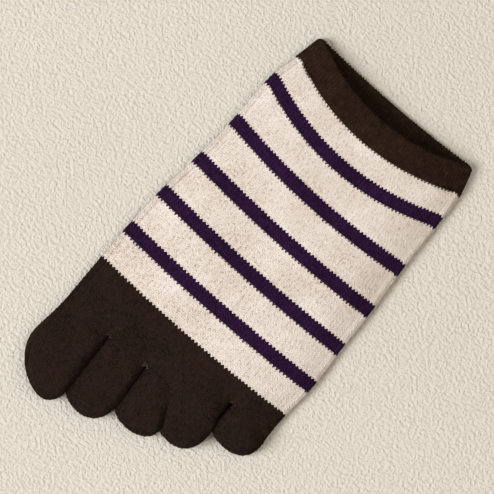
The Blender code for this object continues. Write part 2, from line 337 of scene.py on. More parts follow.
def toe_side(index, y, right, inset):
    """One side of a toe pocket at a place along it."""
    toe = TOES[index]
    end_y = (toe.right_end if right else toe.left_end) * LENGTH
    tip_x, tip_y = toe.tip_x * WIDTH, toe.tip_y * LENGTH + inset - TIP_PROUD
    straight_y = max(y, end_y)
    inward = -1 if right else 1
    if index == 0 and not right:
        bulge = soft_step(TOE_ROOTS[1], end_y, straight_y)
        root = tube_sides(TOE_ROOTS[1])[0]
        side = between(root, BIG_TOE_BULGE * WIDTH, bulge) - SIDE_PROUD
    elif index == len(TOES) - 1 and right:
        bulge = soft_step(LITTLE_TOE_ROOT[1], end_y, straight_y)
        root = tube_sides(LITTLE_TOE_ROOT[1])[1]
        side = between(root, LITTLE_TOE_BULGE * WIDTH, bulge) + SIDE_PROUD
    else:
        side = parting_x(PARTINGS[index if right else index - 1], straight_y)
        deeper = soft_step(toe_root(index), end_y, straight_y)
        side -= inward * between(between(OVERLAP, TIP_OVERLAP, deeper), PRESSED_OVERLAP,
                                 pressing(index, y, right))
    side += inward * inset
    if y >= end_y:
        return side
    fullness = BIG_TOE_FULLNESS if index == 0 and not right else TIP_FULLNESS
    return between(tip_x, side, rounding((end_y - y) / (end_y - tip_y), fullness))


def flank(index, y, right):
    """How wide a toe's side looks from above, its radius and its top's flatness."""
    if index == 0 and not right:
        return TOE_FOLD_RADIUS, TOE_FOLD_RADIUS, OUTER_DOME
    if index == len(TOES) - 1 and right:
        return LITTLE_TOE_FLANK, TOE_FOLD_RADIUS, RIGHT_DOME
    width, dome = (RIGHT_FLANK, RIGHT_DOME) if right else (LEFT_FLANK, LEFT_DOME)
    press = pressing(index, y, right)
    return (between(width, PRESSED_FLANK, press), TOE_SIDE_RADIUS,
            between(dome, PRESSED_DOME, press))


def toe_loop(index, y, inset):
    """One course round a toe pocket."""
    across, turn = TOE_PLACES
    toe = TOES[index]
    tip_y = toe.tip_y * LENGTH + inset - TIP_PROUD
    crown = toe.crown * TOE_CROWN
    left, right = (toe_side(index, y, side, inset) for side in (False, True))
    most = (right - left) * 0.35
    near, left_radius, left_dome = flank(index, y, False)
    far, right_radius, right_dome = flank(index, y, True)
    near, far = min(near, most), min(far, most)
    radius = between(left_radius, right_radius, soft_step(-0.5, 0.5, across))
    x = between(left + near, right - far, (across + 1) / 2)
    root_y = toe_root(index)
    shoulder = np.maximum(instep_height(x, root_y), 2 * radius)
    dome = 1 - np.abs(across) ** np.where(across < 0, left_dome, right_dome)
    top = between(2 * radius, crown, dome)
    top = between(top, shoulder, soft_step(root_y - SHOULDER_FADE, root_y, y)) - inset
    x += np.cos(turn) * np.where(across < 0, near, far)
    side = radius + np.sin(turn) * (radius - inset)
    z = np.where(turn == QUARTER, top, side)
    squeeze = rounding((tip_y + TIP_ROUND - y) / TIP_ROUND)
    z = between(TIP_HEIGHT * crown, z, squeeze)
    return np.stack([x, np.full_like(x, y), z], axis=1)


print("toe 1 at its root", np.round(np.ptp(toe_loop(0, TOE_ROOTS[1], 0), axis=0) / MM, 1))

# %% [markdown]
# ## From loops to cloth
# Wales keep an even distance round the foot. So each loop is measured with a
# tape, so to say, and its points are laid out again at even lengths. A stack
# of such loops is a grid of the cloth, and any place on it is read between
# its points.

# %% Grids of cloth
def smoothed(values, reach):
    """A closed row of values, each averaged with its neighbours."""
    weights = np.hanning(2 * reach + 3)[1:-1]
    padded = np.concatenate([values[-reach:], values, values[:reach]])
    return np.convolve(padded, weights / weights.sum(), "valid")


def evened(loop, count, soften=0):
    """A closed loop with points at even lengths, and its whole length."""
    closed = np.vstack([loop, loop[:1]])
    run = np.concatenate([[0], np.cumsum(np.linalg.norm(np.diff(closed, axis=0), axis=1))])
    stops = np.arange(count) / count * run[-1]
    spread = [np.interp(stops, run, closed[:, axis]) for axis in range(3)]
    if soften:
        spread = [smoothed(values, soften) for values in spread]
    return np.stack(spread, axis=1), run[-1]


def read_loop(loop, shares):
    """Points of an even loop at shares of the way round."""
    spot = np.mod(shares, 1.0) * len(loop)
    low = np.floor(spot).astype(int) % len(loop)
    part = (spot - np.floor(spot))[:, None]
    return between(loop[low], loop[(low + 1) % len(loop)], part)


def unit(vectors):
    return vectors / np.maximum(np.linalg.norm(vectors, axis=1), 1e-9)[:, None]


Row = namedtuple("Row", "centre along facing size place")


def stitch_row(upper, lower, upper_shares, lower_shares, width, place):
    """A stitch in each wale between two loops, the upper one nearer the cuff."""
    top, bottom = read_loop(upper, upper_shares), read_loop(lower, lower_shares)
    nudge = 2.0 / len(upper)
    around = (read_loop(upper, upper_shares + nudge) - read_loop(upper, upper_shares - nudge)
              + read_loop(lower, lower_shares + nudge) - read_loop(lower, lower_shares - nudge))
    along = unit(top - bottom)
    facing = unit(np.cross(around, along))
    depth = np.linalg.norm(top - bottom, axis=1)
    size = np.stack([np.full_like(depth, width), depth, np.ones_like(depth)], axis=1)
    return Row((top + bottom) / 2, along, facing, size, place)


loop, around_foot = evened(tube_loop(STRIPES[2], tube_sides, YARN_INSET), 4 * WALES)
print("round the foot", round(around_foot / MM), "mm,", round(around_foot / WALES / MM, 2), "mm a wale")

# %% [markdown]
# ## One stitch
# Seen from outside, a knit stitch is a V: the yarn comes up through the loop
# below, spreads into two legs, and goes back in behind the next stitch. The
# legs of one course lie on those of the next like a herringbone, and where
# the colour changes they make its small teeth. A leg is made once, with as few
# faces as it can have and still look round, because it is used some forty
# thousand times. Its sizes are in wales across and courses along.

# %% The shape of a stitch
STRAND_SIDES = 3
LEG_FOOT = -0.08           # distance of a leg from the wale's middle at its foot
LEG_HEAD = 0.58            # and at its head
LEG_LOW = -0.78            # where a leg starts, in courses from the middle
LEG_HIGH = 0.78            # and where it ends
LEG_WIDTH = 0.62           # half its width, in courses
YARN_RISE = 0.16 * MM      # half its thickness
LEG_RINGS = ((0.13, 0.84), (0.50, 1.0), (0.86, 0.80))


def leg_place(side, t):
    """The middle of a leg at a share of its length."""
    x = side * between(LEG_FOOT, LEG_HEAD, t)
    sunk = 0.9 * abs(2 * t - 0.85) ** 3
    return np.array([x, between(LEG_LOW, LEG_HIGH, t), -sunk])


def outward(mesh):
    """Turns the faces of a closed mesh to the outside."""
    shell = bmesh.new()
    shell.from_mesh(mesh)
    bmesh.ops.recalc_face_normals(shell, faces=shell.faces)
    shell.to_mesh(mesh)
    shell.free()


def strand_mesh(name, legs):
    """A mesh of plump strands: legs is a list of (place function, width)."""
    points, faces, corners, painted_shade_lift = [], [], [], []
    for number, (place, half_width) in enumerate(legs):
        base = len(points)
        points += [place(0.0), place(1.0)]
        # The ends, where a leg dips under the next stitch, get the darkest painted shade.
        painted_shade_lift += [0.0, 0.0]
        for t, thick in LEG_RINGS:
            for side in range(STRAND_SIDES):
                angle = 2 * math.pi * side / STRAND_SIDES + QUARTER
                out = (0, half_width * math.cos(angle), 0.95 * math.sin(angle))
                points.append(place(t) + thick * np.array(out))
                # Lighter on top and darker underneath: the mask of the painted shade in the grooves.
                painted_shade_lift.append(0.5 + 0.5 * math.sin(angle) * thick)
        rows = [0.0] + [t for t, _ in LEG_RINGS] + [1.0]

        def corner(ring, side):
            u = (number + 0.08 + 0.84 * side / STRAND_SIDES) / len(legs)
            return u, 0.04 + 0.92 * rows[ring]

        for side in range(STRAND_SIDES):
            after = (side + 1) % STRAND_SIDES
            first = base + 2
            faces.append((base, first + after, first + side))
            corners += [corner(0, side + 0.5), corner(1, side + 1), corner(1, side)]
            for ring in range(len(LEG_RINGS) - 1):
                low = first + ring * STRAND_SIDES
                high = low + STRAND_SIDES
                faces.append((low + side, low + after, high + after, high + side))
                corners += [corner(ring + 1, side), corner(ring + 1, side + 1),
                            corner(ring + 2, side + 1), corner(ring + 2, side)]
            last = first + (len(LEG_RINGS) - 1) * STRAND_SIDES
            faces.append((last + side, last + after, base + 1))
            corners += [corner(3, side), corner(3, side + 1), corner(4, side + 0.5)]
    mesh = bpy.data.meshes.new(name)
    mesh.from_pydata([tuple(point) for point in points], [], faces)
    outward(mesh)
    mesh.attributes.new("painted_shade_lift", "FLOAT", "POINT").data.foreach_set("value", painted_shade_lift)
    layer = mesh.uv_layers.new(name="strand")
    layer.data.foreach_set("uv", np.array(corners).ravel())
    made = bpy.data.objects.new(name, mesh)
    return made


stitch = strand_mesh("stitch", [
    (lambda t: leg_place(-1, t), LEG_WIDTH), (lambda t: leg_place(1, t), LEG_WIDTH)])
print("a stitch has", len(stitch.data.polygons), "faces")

# %% [markdown]
# ## Writing node trees as expressions
# Shader and geometry trees are graphs, but their sums read better as sums.
# Graph adds any node by its type. Value wraps a socket, so that adding or
# multiplying two of them adds the Math node that does it.

# %% A small language for nodes
class Value:
    """A number that is worked out in a node tree."""

    def __init__(self, graph, socket):
        self.graph, self.socket = graph, socket

    def math(self, operation, *others):
        node = self.graph.node("ShaderNodeMath", {"operation": operation},
                               {i: v for i, v in enumerate((self, *others))})
        return Value(self.graph, node.outputs[0])

    def __add__(self, other):
        return self.math("ADD", other)

    def __sub__(self, other):
        return self.math("SUBTRACT", other)

    def __mul__(self, other):
        return self.math("MULTIPLY", other)

    def __rsub__(self, other):
        return (self * -1) + other

    __radd__, __rmul__ = __add__, __mul__


class Graph:
    """A node tree that is written line by line."""

    def __init__(self, tree):
        self.tree = tree

    def node(self, kind, settings=(), inputs=()):
        made = self.tree.nodes.new(kind)
        for name, setting in dict(settings).items():
            setattr(made, name, setting)
        for name, given in dict(inputs).items():
            given = getattr(given, "socket", given)
            if isinstance(given, bpy.types.NodeSocket):
                self.tree.links.new(given, made.inputs[name])
            else:
                made.inputs[name].default_value = given
        return made

    def number(self, kind, settings=(), inputs=(), output=0):
        return Value(self, self.node(kind, settings, inputs).outputs[output])


print("graph helpers ready")

# %% [markdown]
# ## Setting stitches on the cloth
# The places of the stitches are the points of a mesh, and each point carries
# which way its wale runs, which way is out, and how large the stitch is. The
# tree turns a copy of the stitch that way, makes it a little uneven, and
# joins all the copies into one mesh. It also writes a flat map for textures,
# in which every stitch has a small field of its own.

# %% The tree that sets stitches
def stitch_tree():
    tree = bpy.data.node_groups.new("stitches_on_cloth", "GeometryNodeTree")
    face = tree.interface
    for name, kind in (("Places", "Geometry"), ("Stitch", "Object"), ("Wobble", "Float"),
                       ("Unevenness", "Float"), ("Columns", "Float"), ("Rows", "Float"),
                       ("Seed", "Int"), ("Yarn", "Material")):
        face.new_socket(name, in_out="INPUT", socket_type="NodeSocket" + kind)
    face.new_socket("Knitting", in_out="OUTPUT", socket_type="NodeSocketGeometry")
    graph = Graph(tree)
    given = graph.node("NodeGroupInput").outputs

    def named(name, kind="FLOAT_VECTOR"):
        return graph.node("GeometryNodeInputNamedAttribute", {"data_type": kind},
                          {"Name": name}).outputs["Attribute"]

    def random(low, high, offset):
        seed = graph.number("ShaderNodeMath", {"operation": "ADD"}, {0: given["Seed"], 1: offset})
        node = graph.node("FunctionNodeRandomValue", {"data_type": "FLOAT"}, {"Seed": seed})
        for socket, value in zip([s for s in node.inputs if s.type == "VALUE"], (low, high)):
            tree.links.new(value, socket)
        return next(s for s in node.outputs if s.type == "VALUE" and s.enabled)

    wobble = Value(graph, given["Wobble"])
    turn = graph.node("ShaderNodeCombineXYZ", {}, {
        axis: random((wobble * -1).socket, wobble.socket, 10 + axis) for axis in range(3)})
    frame_turn = graph.node("FunctionNodeAxesToRotation",
                            {"primary_axis": "Z", "secondary_axis": "Y"},
                            {0: named("facing"), 1: named("along")})
    euler = graph.node("FunctionNodeEulerToRotation", {}, {0: turn.outputs[0]})
    turned = graph.node("FunctionNodeRotateRotation", {"rotation_space": "LOCAL"},
                        {0: frame_turn.outputs[0], 1: euler.outputs[0]})
    uneven = Value(graph, given["Unevenness"])
    grow = graph.node("ShaderNodeCombineXYZ", {}, {
        axis: random((1 - uneven).socket, (uneven + 1).socket, 20 + axis) for axis in range(3)})
    size = graph.node("ShaderNodeVectorMath", {"operation": "MULTIPLY"},
                      {0: named("size"), 1: grow.outputs[0]})
    source = graph.node("GeometryNodeObjectInfo", {}, {"Object": given["Stitch"], "As Instance": True})
    copies = graph.node("GeometryNodeInstanceOnPoints", {}, {
        "Points": given["Places"], "Instance": source.outputs["Geometry"],
        "Rotation": turned.outputs[0], "Scale": size.outputs[0]})
    zero = graph.node("ShaderNodeValue").outputs[0]
    one = graph.node("ShaderNodeValue").outputs[0]
    one.default_value = 1.0
    shaded = graph.node("GeometryNodeStoreNamedAttribute",
                        {"data_type": "FLOAT", "domain": "INSTANCE"},
                        {"Geometry": copies.outputs[0], "Name": "shade",
                         "Value": random(zero, one, 30)})
    joined = graph.node("GeometryNodeRealizeInstances", {}, {"Geometry": shaded.outputs[0]})
    spot = graph.node("ShaderNodeVectorMath", {"operation": "ADD"},
                      {0: named("strand"), 1: named("place")})
    span = graph.node("ShaderNodeCombineXYZ", {}, {0: given["Columns"], 1: given["Rows"], 2: 1.0})
    flat = graph.node("ShaderNodeVectorMath", {"operation": "DIVIDE"},
                      {0: spot.outputs[0], 1: span.outputs[0]})
    mapped = graph.node("GeometryNodeStoreNamedAttribute",
                        {"data_type": "FLOAT2", "domain": "CORNER"},
                        {"Geometry": joined.outputs[0], "Name": "OFBake",
                         "Value": flat.outputs[0]})
    smooth = graph.node("GeometryNodeSetShadeSmooth", {}, {"Geometry": mapped.outputs[0]})
    dyed = graph.node("GeometryNodeSetMaterial", {}, {
        "Geometry": smooth.outputs[0], "Material": given["Yarn"]})
    graph.node("NodeGroupOutput", {}, {"Knitting": dyed.outputs[0]})
    return tree


knitting_tree = stitch_tree()
print(len(knitting_tree.nodes), "nodes set a stitch")

# %% Knit a piece from its rows
REST = 0.02 * MM           # nothing lies lower, because the table presses it flat


def attribute(mesh, name, values):
    values = np.asarray(values, dtype=float)
    mesh.attributes.new(name, "FLOAT_VECTOR", "POINT").data.foreach_set("vector", values.ravel())


def knit(name, rows, yarn, seed, wobble=0.13, unevenness=0.15):
    """One mesh with a stitch at each place of the rows."""
    centre, along, facing, size, place = (np.concatenate(column) for column in zip(*rows))
    guide = bpy.data.meshes.new(name + "_places")
    guide.from_pydata([tuple(point) for point in centre], [], [])
    attribute(guide, "along", along)
    attribute(guide, "facing", facing)
    attribute(guide, "size", size * (1, 1, YARN_RISE))
    attribute(guide, "place", place)
    holder = bpy.data.objects.new(name + "_places", guide)
    bpy.context.scene.collection.objects.link(holder)
    modifier = holder.modifiers.new("knit", "NODES")
    modifier.node_group = knitting_tree
    span = place.max(axis=0) + 1
    settings = {"Stitch": stitch, "Wobble": wobble, "Unevenness": unevenness,
                "Columns": float(span[0]), "Rows": float(span[1]), "Seed": seed, "Yarn": yarn}
    for item in knitting_tree.interface.items_tree:
        if item.in_out == "INPUT" and item.name in settings:
            modifier[item.identifier] = settings[item.name]
    graph = bpy.context.evaluated_depsgraph_get()
    mesh = bpy.data.meshes.new_from_object(holder.evaluated_get(graph), depsgraph=graph)
    bpy.data.objects.remove(holder, do_unlink=True)
    bpy.data.meshes.remove(guide)
    for spare in ("along", "facing", "size", "place"):
        if spare in mesh.attributes:
            mesh.attributes.remove(mesh.attributes[spare])
    corners = np.zeros(3 * len(mesh.vertices))
    mesh.vertices.foreach_get("co", corners)
    corners[2::3] = np.maximum(corners[2::3], REST)
    mesh.vertices.foreach_set("co", corners)
    mesh.name = name
    piece = bpy.data.objects.new(name, mesh)
    bpy.context.scene.collection.objects.link(piece)
    print(name, len(centre), "stitches")
    return piece


# %% [markdown]
# ## Cotton yarn
# Spun cotton is matt and a little fuzzy. Its colour is painted darker down
# between the strands and at their ends, where they dip under the next stitch,
# than on top of them: painted shade. Each stitch takes the dye a little
# differently, and its plies run round it at a slant, with painted shade in the
# grooves between the plies. All of that is worked out on the strand itself or
# in the object's own space.

# %% The finish of a yarn
def linear(colour):
    """A colour as seen on screen, from 0 to 255, as light."""
    return tuple(((c / 255 + 0.055) / 1.055) ** 2.4 for c in colour) + (1.0,)


def yarn(name, light, deep, sheen, coarse=0.30, cloudy=0.5):
    material = bpy.data.materials.new(name)
    material.use_nodes = True
    graph = Graph(material.node_tree)
    shader = material.node_tree.nodes["Principled BSDF"]
    here = graph.node("ShaderNodeTexCoord").outputs["Object"]
    strand = graph.node("ShaderNodeUVMap", {"uv_map": "strand"}).outputs[0]
    shade = graph.number("ShaderNodeAttribute", {"attribute_name": "shade"}, output=2)
    painted_shade_lift = graph.number("ShaderNodeAttribute", {"attribute_name": "painted_shade_lift"}, output=2)

    def noise(vector, scale, detail=2.0):
        return graph.number("ShaderNodeTexNoise", {}, {
            "Vector": vector, "Scale": scale, "Detail": detail})

    patches = noise(here, 70.0)
    mottle = noise(here, 420.0)
    speckle = noise(here, 1100.0)
    fibres = noise(here, 9000.0, 1.0)
    plies = graph.number("ShaderNodeTexWave", {"bands_direction": "DIAGONAL"}, {
        "Vector": strand, "Scale": 4.0, "Distortion": 0.6})
    # Random dye tones mixed with painted shade: darker where the strand is low, at its tucked ends and
    # in the grooves between its plies.
    tone_and_painted_shade = (painted_shade_lift * 0.26 + shade * 0.36 + (patches - 0.5) * cloudy + mottle * coarse * 2.4
            + speckle * coarse * 1.4 + plies * 0.10 - 0.12 - coarse * 1.4)
    blend = graph.node("ShaderNodeMix", {"data_type": "RGBA"}, {
        0: tone_and_painted_shade, 6: linear(deep), 7: linear(light)})
    relief = plies * 0.5 + fibres * 0.7
    bump = graph.node("ShaderNodeBump", {}, {
        "Height": relief, "Distance": 0.06 * MM, "Strength": 0.6})
    tree = material.node_tree
    tree.links.new(blend.outputs[2], shader.inputs["Base Color"])
    tree.links.new((fibres * 0.12 + 0.84).socket, shader.inputs["Roughness"])
    tree.links.new(bump.outputs[0], shader.inputs["Normal"])
    shader.inputs["Specular IOR Level"].default_value = 0.03
    shader.inputs["Sheen Weight"].default_value = sheen
    shader.inputs["Sheen Roughness"].default_value = 0.5
    return material


# A yarn is a light and a deep colour. The deep one is the tone of darker stitches and also the painted
# shade down in the grooves.
YARNS = {
    "cuff_yarn": yarn("cuff_yarn", (61, 44, 34), (8, 4, 2), 0.02, 0.42),
    "toe_yarn": yarn("toe_yarn", (48, 33, 28), (11, 6, 5), 0.02),
    "cream_yarn": yarn("cream_yarn", (219, 211, 205), (188, 172, 158), 0.03, 0.24, 1.8),
    # The puckers' yarn is the toe yarn painted lighter: a painted highlight where the knots stand up.
    "pucker_painted_highlight_yarn": yarn("pucker_painted_highlight_yarn", (76, 58, 51), (38, 27, 23), 0.02),
    "purple_yarn": yarn("purple_yarn", (52, 25, 60), (11, 4, 15), 0.02, 0.45),
}
print(len(YARNS), "yarns")

# %% [markdown]
# ## The rows of the foot tube
# Each coloured band is a number of courses between two lines of the table.
# The bands are listed from the cuff to the toes, as the sock lies, with the
# node that each one stands for.

# %% Bands of the tube
Band = namedtuple("Band", "node yarn start end")


def moved(line, distance):
    return line + distance


def foot_bands():
    bands, upper = [], moved(RIM, -CUFF_DEPTH)
    for number, centre in enumerate(STRIPES, 1):
        start, end = moved(centre, STRIPE_DEPTH / 2), moved(centre, -STRIPE_DEPTH / 2)
        bands.append(Band(f"cream_band_{number}", "cream_yarn", upper, start))
        bands.append(Band(f"stripe_{number}", "purple_yarn", start, end))
        upper = end
    bands.append(Band(f"cream_band_{len(STRIPES) + 1}", "cream_yarn", upper, FOREFOOT_EDGE))
    bands.append(Band("forefoot", "toe_yarn", FOREFOOT_EDGE, LITTLE_TOE_ROOT))
    return bands


def courses_in(band):
    return max(int(round(np.mean(band.start - band.end) / COURSE)), 1)


WALE_SHARES = (np.arange(WALES) + 0.5) / WALES


def band_rows(band, sides, shares, first_row=0):
    """The stitches of one band, course by course."""
    count = courses_in(band)
    loops = [evened(tube_loop(between(band.start, band.end, row / count), sides, YARN_INSET),
                    4 * WALES, 3) for row in range(count + 1)]
    rows = []
    for row in range(count):
        (upper, length), (lower, _) = loops[row], loops[row + 1]
        place = np.stack([np.arange(len(shares)), np.full(len(shares), row + first_row),
                          np.zeros(len(shares))], axis=1)
        width = length * (shares[1] - shares[0])
        rows.append(stitch_row(upper, lower, shares, shares, width, place))
    return rows


# %% Knit the tube
pieces = []
for seed, band in enumerate(foot_bands()):
    piece = knit(band.node + "_stitches", band_rows(band, tube_sides, WALE_SHARES),
                 YARNS[band.yarn], seed)
    pieces.append((piece, band.node, band.yarn))

# %% [markdown]
# ## The band of four toes
# The machine knits four toes into one tube before the little toe joins them.
# Its wales carry on from the forefoot's, so they keep the same distance.

# %% Knit the band of four toes
four_band = Band("four_toe_band", "toe_yarn", LITTLE_TOE_ROOT, TOE_ROOTS)
wale_width = evened(tube_loop(LITTLE_TOE_ROOT, tube_sides, YARN_INSET), 4 * WALES)[1] / WALES
four_round = evened(tube_loop(LITTLE_TOE_ROOT, four_toe_sides, YARN_INSET), 4 * WALES)[1]
four_wales = 2 * int(round(four_round / wale_width / 2))
four_shares = (np.arange(four_wales) + 0.5) / four_wales
piece = knit("four_toe_band_stitches", band_rows(four_band, four_toe_sides, four_shares),
             YARNS["toe_yarn"], 20)
pieces.append((piece, "four_toe_band", "toe_yarn"))

# %% [markdown]
# ## Knitting the toes
# A toe keeps its wales straight along its top, and drops one at either side
# where it gets narrower, as a fashioned edge does. The courses follow the
# surface over the tip, so their distance is measured along the toe's top.

# %% Rows of a toe
TOE_SAMPLES = 240
TOP_PLACE = float(np.mean(np.flatnonzero(
    (np.abs(TOE_PLACES.across) < 0.02) & (TOE_PLACES.turn == QUARTER))))
SOLE_PLACE = float(np.mean(np.flatnonzero(
    (np.abs(TOE_PLACES.across) < 0.02) & (TOE_PLACES.turn == -QUARTER))))
SIDE_PLACE = float(np.argmin(np.abs(TOE_PLACES.turn)))


def share_at(loop, spot):
    """How far round a loop one of its own points lies, as a share."""
    closed = np.vstack([loop, loop[:1]])
    run = np.concatenate([[0], np.cumsum(np.linalg.norm(np.diff(closed, axis=0), axis=1))])
    return np.interp(spot, np.arange(len(run)), run) / run[-1]


def toe_courses(index, root_y, inset, step):
    """Places along a toe, a step apart on its surface."""
    tip_y = TOES[index].tip_y * LENGTH + inset - TIP_PROUD
    ys = tip_y + (root_y - tip_y) * (1 - np.sin(np.linspace(0, QUARTER, 300)))
    ys = ys[:-1]
    tops = np.array([toe_loop(index, y, inset)[int(TOP_PLACE)] for y in ys])
    run = np.concatenate([[0], np.cumsum(np.linalg.norm(np.diff(tops, axis=0), axis=1))])
    count = int(round(run[-1] / step))
    return np.interp(np.arange(count + 1) / count * run[-1], run, ys)


def toe_rows(index, root_y):
    ys = toe_courses(index, root_y, YARN_INSET, COURSE)
    loops = []
    for y in ys:
        raw = toe_loop(index, y, YARN_INSET)
        even, length = evened(raw, TOE_SAMPLES, 2)
        loops.append((even, length, [share_at(raw, s) for s in (TOP_PLACE, SIDE_PLACE, SOLE_PLACE)]))
    rows = []
    for row, (upper, lower) in enumerate(zip(loops, loops[1:])):
        loop_up, length_up, (top_up, side_up, sole_up) = upper
        loop_low, length_low, (top_low, side_low, sole_low) = lower
        shares_up, shares_low, names = [], [], []
        for middle_up, middle_low, ends, base in (
                (top_up, top_low, (0.0, side_low), 8), (sole_up, sole_low, (side_low, 1.0), 24)):
            for wale in range(-8, 8):
                offset = (wale + 0.5) * wale_width
                share = middle_low + offset / length_low
                spare = 0.3 * wale_width / length_low
                if ends[0] + spare < share < ends[1] - spare:
                    shares_up.append(middle_up + offset / length_up)
                    shares_low.append(share)
                    names.append(wale + base)
        if not names:
            continue
        place = np.stack([np.array(names, float), np.full(len(names), float(row)),
                          np.zeros(len(names))], axis=1)
        rows.append(stitch_row(loop_up, loop_low, np.array(shares_up), np.array(shares_low),
                               wale_width, place))
    return rows


# %% Knit the toes
for index in range(len(TOES)):
    root = LITTLE_TOE_ROOT if index == len(TOES) - 1 else TOE_ROOTS
    node = f"toe_{index + 1}"
    piece = knit(node + "_stitches", toe_rows(index, root[1]), YARNS["toe_yarn"], 30 + index)
    pieces.append((piece, node, "toe_yarn"))

# %% [markdown]
# ## The puckers between the toes
# Where two toe pockets meet, the machine draws the yarn tight, and a small
# knot of gathered loops stands up and catches the light. Each knot is three
# tight stitches side by side, turned across the sock, in the toe yarn painted
# lighter: a painted highlight.

# %% Draw the puckers
Pucker = namedtuple("Pucker", "parting along reach")
PUCKERS = (Pucker(0, -0.2985, 1.0), Pucker(1, -0.2985, 1.0), Pucker(3, -0.2340, 0.8))
PUCKER_STEP = 0.75 * MM
PUCKER_SIZE = (1.3 * MM, 1.5 * MM, 3.2)
PUCKER_SINK = 0.1 * MM


def pucker_rows():
    rows = []
    for number, (parting, along, reach) in enumerate(PUCKERS):
        y = along * LENGTH
        x = parting_x(PARTINGS[parting], y) + np.array([-0.7, 0.3, 1.5]) * PUCKER_STEP
        z = instep_height(x, np.full_like(x, y + 1.0 * MM)) - PUCKER_SINK
        centre = np.stack([x, np.array([0.1, 0.5, -0.1]) * MM + y, z], axis=1)
        count = len(centre)
        place = np.stack([np.arange(count), np.full(count, number), np.zeros(count)], axis=1)
        rows.append(Row(centre, unit(np.array([[0.3, 1.0, 0.25]] * count)),
                        unit(np.array([[-0.3, -0.25, 1.0]] * count)),
                        np.outer([1.1, 0.7, 0.9], PUCKER_SIZE) * (reach, reach, 1), place))
    return rows


piece = knit("toe_puckers", pucker_rows(), YARNS["pucker_painted_highlight_yarn"], 45, wobble=0.6)
puckers = piece

# %% [markdown]
# ## The cuff
# The cuff is knitted double in a fine rib: its wales stand up more, with
# grooves between them. The rows start inside, climb to the rim, turn over it
# and come down the outside to the seam, all in one go.

# %% Knit the cuff
def cuff_path(inset, step, spare=0.0):
    """Pairs of depth under the rim and inset, from inside to outside."""
    radius = (CUFF_WALL - 2 * inset) / 2
    straight = int(round((CUFF_DEPTH - radius) / step))
    over = max(int(round(math.pi * radius / step)), 2)
    depths = np.linspace(CUFF_DEPTH - spare, radius, straight + 1)
    turn = np.linspace(0, math.pi, over + 1)[1:-1]
    path = [(depth, CUFF_WALL - inset) for depth in depths]
    path += [(radius * (1 - math.sin(a)), CUFF_WALL / 2 + radius * math.cos(a)) for a in turn]
    path += [(depth, inset) for depth in depths[::-1]]
    return path


def cuff_sides(y):
    """The folds of the cuff, with its two corners rounded off."""
    low, high = tube_sides(y)
    share = np.clip(1 - (LENGTH / 2 - y) / CORNER_DEPTH, 0, 1)
    cut = share ** 2 * CORNER_WIDTH - CUFF_PROUD
    return low + cut, high - cut


def cuff_loop(depth, inset):
    return tube_loop(moved(RIM, -depth), cuff_sides, inset)


CUFF_WIDTH = 0.86          # width of a rib as a share of the space it has
CUFF_RELIEF = 2.4          # how much more the ribs stand up than flat knitting


def cuff_rows():
    loops = [evened(cuff_loop(depth, inset), 4 * WALES, 2)
             for depth, inset in cuff_path(YARN_INSET, COURSE)]
    rows = []
    for row, ((upper, length), (lower, _)) in enumerate(zip(loops, loops[1:])):
        place = np.stack([np.arange(WALES), np.full(WALES, row), np.zeros(WALES)], axis=1)
        made = stitch_row(upper, lower, WALE_SHARES, WALE_SHARES,
                          CUFF_WIDTH * length / WALES, place)
        rows.append(made._replace(size=made.size * (1, 1, CUFF_RELIEF)))
    return rows


piece = knit("cuff_stitches", cuff_rows(), YARNS["cuff_yarn"], 50, unevenness=0.16)
pieces.append((piece, "cuff", "cuff_yarn"))

# %% [markdown]
# ## The cloth behind the stitches
# Between the stitches one sees the backs of the loops behind them, and inside
# the sock one sees the inner face. Both are one closed wall of cloth, in the
# same colours, that runs round the rim and back down the inside.

# %% Build the wall of cloth
CLOTH_COLUMNS = 116
TOE_CLOTH_COLUMNS = 48
CLOTH_STEP = 2 * COURSE
TOOTH = 0.45               # how far the backing reaches up behind the next colour


class Cloth:
    """Collects loops of points into one closed mesh."""

    def __init__(self):
        self.points, self.faces, self.yarns = [], [], []

    def add(self, loops, yarns, closed):
        """Loops of equal length, and the yarn of the cloth after each."""
        start, columns, rows = len(self.points), len(loops[0]), len(loops)
        self.points += [tuple(point) for loop in loops for point in loop]
        last = rows if closed else rows - 1
        for row in range(last):
            for column in range(columns):
                after, below = (column + 1) % columns, (row + 1) % rows
                self.faces.append((start + row * columns + column, start + row * columns + after,
                                   start + below * columns + after,
                                   start + below * columns + column))
                self.yarns.append(yarns[row])
        if not closed:
            self.cap(start, columns, loops[0].mean(axis=0), True, yarns[0])
            self.cap(start + last * columns, columns, loops[-1].mean(axis=0), False, yarns[-1])

    def cap(self, start, columns, point, first, yarn_name):
        pole = len(self.points)
        self.points.append(tuple(point))
        for column in range(columns):
            here, after = start + column, start + (column + 1) % columns
            self.faces.append((pole, after, here) if first else (pole, here, after))
            self.yarns.append(yarn_name)


